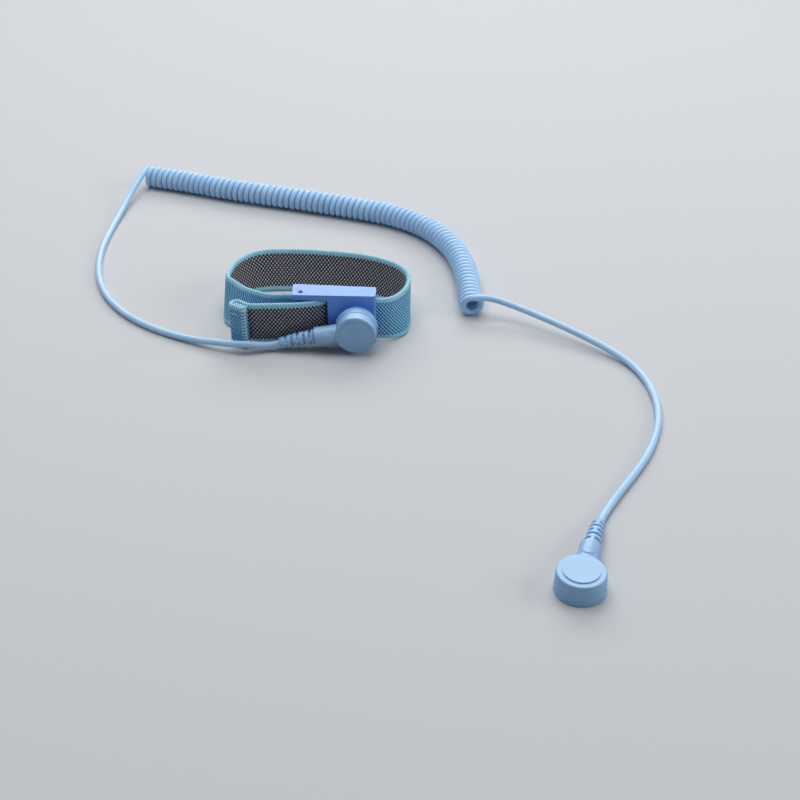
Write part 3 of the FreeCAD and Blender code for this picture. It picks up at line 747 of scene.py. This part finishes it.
band = {
    "width": 18.0,
    "thickness": 1.8,
    "bottom": 1.2,
    "step": 0.32,
    "resolution": 24,
    "faceRows": 12,
    "rimSteps": 8,
    "scallop": 0.035,
    "scallopPitch": 1.05,
    "settle": 14.0,
    "claspLeft": -8.9,
    "claspRight": 25.0,
    "split": -7.6,
    "fold": 2.0,
    "foldTurn": -160,
    "nose": (2.5, -13.6),
}
# Places seen from above, and how many degrees the band's top leans to the back and to the right there
loopRoute = [
    (8.5, -13.7, 0, 0), (20.0, -13.7, 0, 0), (29.1, -13.9, 5.6, -5.3), (34.7, -9.3, 12.2, -7.9),
    (37.8, -0.8, 15.9, -2.6), (37.3, 10.5, 16.3, 3.3), (30.5, 19.2, 16.4, 4.1), (17.7, 25.4, 18.3, 1.8),
    (0.3, 28.3, 21.5, -0.2), (-17.3, 29.3, 24.4, -0.2), (-30.2, 27.5, 26.7, 1.6), (-37.6, 18.1, 29.9, 2.4),
    (-38.8, 9.2, 30.7, 1.6), (-38.8, 4.6, 26.9, 2.0), (-36.2, 0.7, 23.9, 14.7), (-32.9, -3.3, 21.1, 19.1),
    (-25.9, -7.6, 14.6, 13.5), (-17.3, -11.0, 6.2, 5.5), (-9.6, -11.1, 0, 0), (-7.6, -11.6, 0, 0)]
# Straights (a length) and bends (a radius and a turn) of the free tail after its fold round the nose
tailBends = [(2.2,), (40, -15.5), (13.8,), (6, -37), (3.4,)]
# The end turned back and sewn, and the cut end that is tucked between its two layers
hem = {
    "bend": (2.0, 182),
    "length": 5.6,
    "tuckBeyond": 0.6,
    "tuckFront": 0.5,
    "tuckThickness": 1.7,
    "tuckNarrower": 0.5,
}


def walk(start, heading, pieces, step):
    # Places and headings along straights and bends
    x, y = start
    angle = math.radians(heading)
    line = [(x, y, angle)]
    for piece in pieces:
        turn = math.radians(piece[1]) if len(piece) > 1 else 0.0
        length = abs(piece[0] * turn) if turn else piece[0]
        count = max(1, math.ceil(length / step))
        part = turn / count
        chord = 2 * piece[0] * math.sin(abs(part) / 2) if turn else length / count
        for _ in range(count):
            x += chord * math.cos(angle + part / 2)
            y += chord * math.sin(angle + part / 2)
            angle += part
            line.append((x, y, angle))
    return line


def loopLine(look):
    # Place, heading, tilt and foot of the band round the wrist: one spline gives places, one tilts
    places = splineLine([Vector((x, y, 0)) for x, y, _, _ in loopRoute], look["resolution"])
    leans = [Vector((math.radians(right), math.radians(back), 0)) for _, _, back, right in loopRoute]
    tilts = splineLine(leans, look["resolution"])
    line = []
    for leg, share in evenPlaces(places, round(lengthOf(places) / look["step"])):
        spot = onLeg(places, leg, share)
        tilt = onLeg(tilts, leg, share)
        ahead = places[leg + 1] - places[leg]
        beyond = max(spot.x - look["claspRight"], look["claspLeft"] - spot.x, 0.0)
        foot = look["bottom"] * (1 - smooth(beyond, 0.0, look["settle"])) if spot.y < 0 else 0.0
        line.append((spot.x, spot.y, math.atan2(ahead.y, ahead.x),
                     (math.sin(tilt.x), math.sin(tilt.y)), foot))
    return line


def upright(line, look):
    return [(x, y, angle, (0.0, 0.0), look["bottom"]) for x, y, angle in line]


def sectionOf(look):
    # Round the ribbon from the outside face: offset, height, height in the weave, and the part it is on
    half = look["thickness"] / 2
    flat = look["width"] / 2 - half
    heights = [-flat + 2 * flat * number / look["faceRows"] for number in range(look["faceRows"] + 1)]
    angles = [math.pi * number / look["rimSteps"] for number in range(1, look["rimSteps"])]
    points = [(-half, height, height, "outside") for height in heights]
    points += [(-half * math.cos(angle), flat + half * math.sin(angle),
                flat + half * angle, "rim") for angle in angles]
    points += [(half, height, height, "inside") for height in reversed(heights)]
    points += [(half * math.cos(angle), -flat - half * math.sin(angle),
                -flat - half * (math.pi - angle), "rim") for angle in angles]
    return points


def ribbonRings(mesh, line, section, look):
    # A ring of points at each place of the line, with its distance along and the slant of the weave there
    half = look["thickness"] / 2
    flat = look["width"] / 2 - half
    rings = []
    reached = 0.0
    for number, (x, y, angle, tilt, foot) in enumerate(line):
        if number:
            reached += math.hypot(x - line[number - 1][0], y - line[number - 1][1])
        ahead = Vector((math.cos(angle), math.sin(angle), 0))
        rise = Vector((tilt[0], tilt[1], math.sqrt(1 - tilt[0] ** 2 - tilt[1] ** 2)))
        through = rise.cross(ahead).normalized()
        centre = Vector((x, y, foot + half + flat * rise.z))
        swell = 1 + look["scallop"] * math.cos(2 * math.pi * reached / look["scallopPitch"])
        ring = []
        for offset, height, _, kind in section:
            if kind == "rim":
                height = math.copysign(flat + (abs(height) - flat) * swell, height)
            ring.append(mesh.verts.new((centre + through * offset + rise * height) * mm))
        rings.append((reached, rise.dot(ahead), ring))
    return rings


def ribbon(name, line, look):
    mesh = bmesh.new()
    uv = mesh.loops.layers.uv.new("weave")
    section = sectionOf(look)
    rings = ribbonRings(mesh, line, section, look)
    count = len(section)
    for (near, nearSlant, ring), (far, farSlant, following) in zip(rings, rings[1:]):
        for number in range(count):
            other = (number + 1) % count
            face = mesh.faces.new((ring[number], following[number], following[other], ring[other]))
            first, second = section[number], section[other]
            face.material_index = 1 if first[3] == "inside" and second[3] == "inside" else 0
            # The outside weave goes on over the rim to the inside face
            low, high = first[2], second[2]
            if first[3] == "rim" and second[3] == "inside":
                high = low + (low - section[number - 1][2])
            if first[3] == "inside" and second[3] == "rim":
                low = high - (section[(other + 1) % count][2] - high)
            spots = [(near, nearSlant, low), (far, farSlant, low),
                     (far, farSlant, high), (near, nearSlant, high)]
            for corner, (along, slant, across) in zip(face.loops, spots):
                corner[uv].uv = (along + slant * across, across)
    for _, _, ring in (rings[0], rings[-1]):
        face = mesh.faces.new(ring)
        for corner, (offset, height, _, _) in zip(face.loops, section):
            corner[uv].uv = (offset, height)
    bmesh.ops.recalc_face_normals(mesh, faces=mesh.faces)
    piece = finishMesh(name, mesh, [finishes["outside"], finishes["inside"]])
    return piece


def hemTuckLine(end, look, step):
    x, y, angle = end
    back = look["length"] + look["tuckBeyond"]
    inward = look["bend"][0]
    start = (x - back * math.cos(angle) - inward * math.sin(angle),
             y - back * math.sin(angle) + inward * math.cos(angle))
    return walk(start, math.degrees(angle), [(back - look["tuckFront"],)], step)


def layBand(look, hemLook):
    noseX, noseY = look["nose"]
    start = (look["split"], noseY + look["fold"])
    path = [(noseX - look["split"],), (look["fold"], look["foldTurn"])]
    path += tailBends + [hemLook["bend"], (hemLook["length"],)]
    tail = walk(start, 0, path, look["step"])
    bandLoop = ribbon("bandLoop", loopLine(look), look)
    bandTail = ribbon("bandTail", upright(tail, look), look)
    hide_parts("elastic_band")
    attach(bandLoop, "wristband")
    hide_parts("band_tail")
    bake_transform(bandTail)
    tuck = hemTuckLine(tail[-1], hemLook, look["step"])
    tuckLook = {**look, "thickness": hemLook["tuckThickness"],
                "width": look["width"] - hemLook["tuckNarrower"]}
    hemTuck = ribbon("hemTuck", upright(tuck, look), tuckLook)
    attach(hemTuck, "wristband")
    return tail


tailLine = layBand(band, hem)
print("band woven")


# Whip stitches over the hem's cut end, a loose thread end above them and a stray stitch on the hem's face.
# The two routes are millimetres ahead, to the left and up: from the top of the row, and from its foot

stitching = {
    "thread": 0.23,
    "sides": 8,
    "pitch": 1.4,
    "parts": 12,
    "overEnd": 0.35,
    "overFace": 0.9,
    "proud": 0.10,
    "slant": 0.42,
    "tip": 0.184,
    "tipRoute": [(0.3, 0, -0.6), (0.7, -0.2, 0.4), (1.2, -0.1, 0.8), (1.5, 0, 1.5)],
    "stray": 0.20,
    "strayRoute": [(-5.5, -0.93, 15.05), (-4.7, -0.93, 15.75), (-4.0, -0.93, 15.6), (-3.4, -0.93, 15.3)],
    "resolution": 6,
}


def layStitches(tail, look, strip):
    mesh = bmesh.new()
    x, y, angle = tail[-1]
    ahead = Vector((math.cos(angle), math.sin(angle), 0))
    left = Vector((-ahead.y, ahead.x, 0))
    up = Vector((0, 0, 1))
    end = Vector((x, y, 0))
    over = strip["thickness"] / 2 + look["proud"]
    count = int(strip["width"] // look["pitch"])
    first = strip["bottom"] + (strip["width"] - (count - 1) * look["pitch"]) / 2
    for number in range(count):
        line = []
        for part in range(look["parts"] + 1):
            share = part / look["parts"] - 0.5
            turn = math.pi * share
            spot = end + left * over * math.sin(turn)
            spot += ahead * (look["overEnd"] * math.cos(turn) - look["overFace"] * (1 - math.cos(turn)))
            spot += up * (first + number * look["pitch"] + look["slant"] * share)
            line.append(spot * mm)
        layTube(mesh, line, framesAlong(line), look["thread"] * mm, look["sides"])
    brim = end + up * (strip["bottom"] + strip["width"])
    extras = ((brim, look["tipRoute"], look["tip"]), (end, look["strayRoute"], look["stray"]))
    for origin, route, radius in extras:
        points = [(origin + ahead * far + left * aside + up * high) * mm for far, aside, high in route]
        line = splineLine(points, look["resolution"])
        layTube(mesh, line, framesAlong(line), radius * mm, look["sides"])
    piece = finishMesh("hemStitching", mesh, [finishes["thread"]])
    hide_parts("hem_stitches")
    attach(piece, "wristband")


layStitches(tailLine, stitching, band)
print("hem stitched")


# Carried-over pieces: finishes, and edges softened by a width in millimetres

nodeFinish = {
    "clasp_frame": "clasp", "cam_lever": "clasp",
    "contact_plate": "plateSteel", "lever_pin": "pinSteelPaintedShade", "stud_washer": "plateSteel",
    "snap_stud": "snapNickel", "stud_rivet": "snapNickel",
    "plug_cover": "head", "plug_base": "head", "earth_cover": "head", "earth_base": "head",
    "plug_socket": "snapNickel", "earth_socket": "snapNickel",
    "plug_ring_spring": "springWire", "earth_ring_spring": "springWire",
    "plug_crimp": "crimpBrass", "earth_crimp": "crimpBrass",
    "plug_resistor": "resistor",
}
softening = {
    "widths": {"clasp_frame": 0.22, "cam_lever": 0.15, "contact_plate": 0.08},
    "weld": 0.005,
    "segments": 2,
    "sharperThan": 38,
}


def softenEdges(node, width, look):
    weld = node.modifiers.new("weld", "WELD")
    weld.merge_threshold = look["weld"] * mm
    edge = node.modifiers.new("edges", "BEVEL")
    edge.width = width * mm
    edge.segments = look["segments"]
    edge.limit_method = "ANGLE"
    edge.angle_limit = math.radians(look["sharperThan"])
    edge.use_clamp_overlap = True
    node.modifiers.new("normals", "WEIGHTED_NORMAL")


for nodeName, finishName in nodeFinish.items():
    for holder in nodes[nodeName].material_slots:
        holder.material = finishes[finishName]
for nodeName, edgeWidth in softening["widths"].items():
    softenEdges(nodes[nodeName], edgeWidth, softening)
print("finishes given to", len(nodeFinish), "pieces")


# Studio: pale floor, a large lamp overhead and lower ones at the back and both sides.
# A lamp has its name, place, width, depth and power

studio = {
    "floor": (0.560, 0.574, 0.600),
    "floorShade": 0.99,
    "floorCloud": 3.0,
    "floorRoughness": 0.9,
    "floorShine": 0.2,
    "floorReach": 4.0,
    "ambient": (0.93, 0.96, 1.0),
    "ambientStrength": 0.13,
    "aim": (0.02, 0, 0),
    "lamps": [
        ("overhead", (-0.05, 0.16, 1.0), 1.1, 0.9, 8.0),
        ("back", (0.0, 1.30, 0.90), 1.6, 0.7, 14.0),
        ("left", (-1.2, 0.1, 0.55), 0.8, 0.4, 0.3),
        ("right", (1.25, -0.1, 0.60), 0.8, 0.5, 5.0),
    ],
}


def addFloor(look):
    mesh = bmesh.new()
    bmesh.ops.create_grid(mesh, x_segments=4, y_segments=4, size=look["floorReach"])
    material, graph = newFinish("floorPaper")
    cloud = graph.noise(graph.place(), look["floorCloud"])
    shade = tuple(look["floorShade"] * c for c in look["floor"])
    closeFinish(graph, {
        "Base Color": graph.blendColour(cloud, shade, look["floor"]),
        "Roughness": look["floorRoughness"],
        "Specular IOR Level": look["floorShine"],
    })
    floor = finishMesh("floor", mesh, [material])


def addLamp(aim, name, place, width, depth, power):
    data = bpy.data.lights.new(name, "AREA")
    data.shape = "RECTANGLE"
    data.size = width
    data.size_y = depth
    data.energy = power
    lamp = bpy.data.objects.new(name, data)
    lamp.location = place
    lamp.rotation_euler = (Vector(aim) - Vector(place)).to_track_quat("-Z", "Y").to_euler()
    bpy.context.scene.collection.objects.link(lamp)


def addWorld(look):
    # The ambient colour lights the scene, and the camera, reflections and clear pieces see plain white
    world = bpy.data.worlds.new("studio")
    world.use_nodes = True
    graph = Graph(world.node_tree)
    direct, glossy, clear = [graph.add("ShaderNodeLightPath", {}, {}, name)
                             for name in ("Is Camera Ray", "Is Glossy Ray", "Is Transmission Ray")]
    shown = graph.larger(graph.larger(direct, glossy), clear)
    dim = graph.add("ShaderNodeBackground", {}, {"Color": (*look["ambient"], 1),
                                                 "Strength": look["ambientStrength"]})
    white = graph.add("ShaderNodeBackground", {}, {"Color": (1, 1, 1, 1), "Strength": 1.0})
    mixed = graph.add("ShaderNodeMixShader", {}, {0: shown, 1: dim, 2: white})
    graph.add("ShaderNodeOutputWorld", {}, {"Surface": mixed})
    bpy.context.scene.world = world


addFloor(studio)
for lampLook in studio["lamps"]:
    addLamp(studio["aim"], *lampLook)
addWorld(studio)
bpy.context.scene.view_settings.view_transform = "Standard"
print("studio lit")
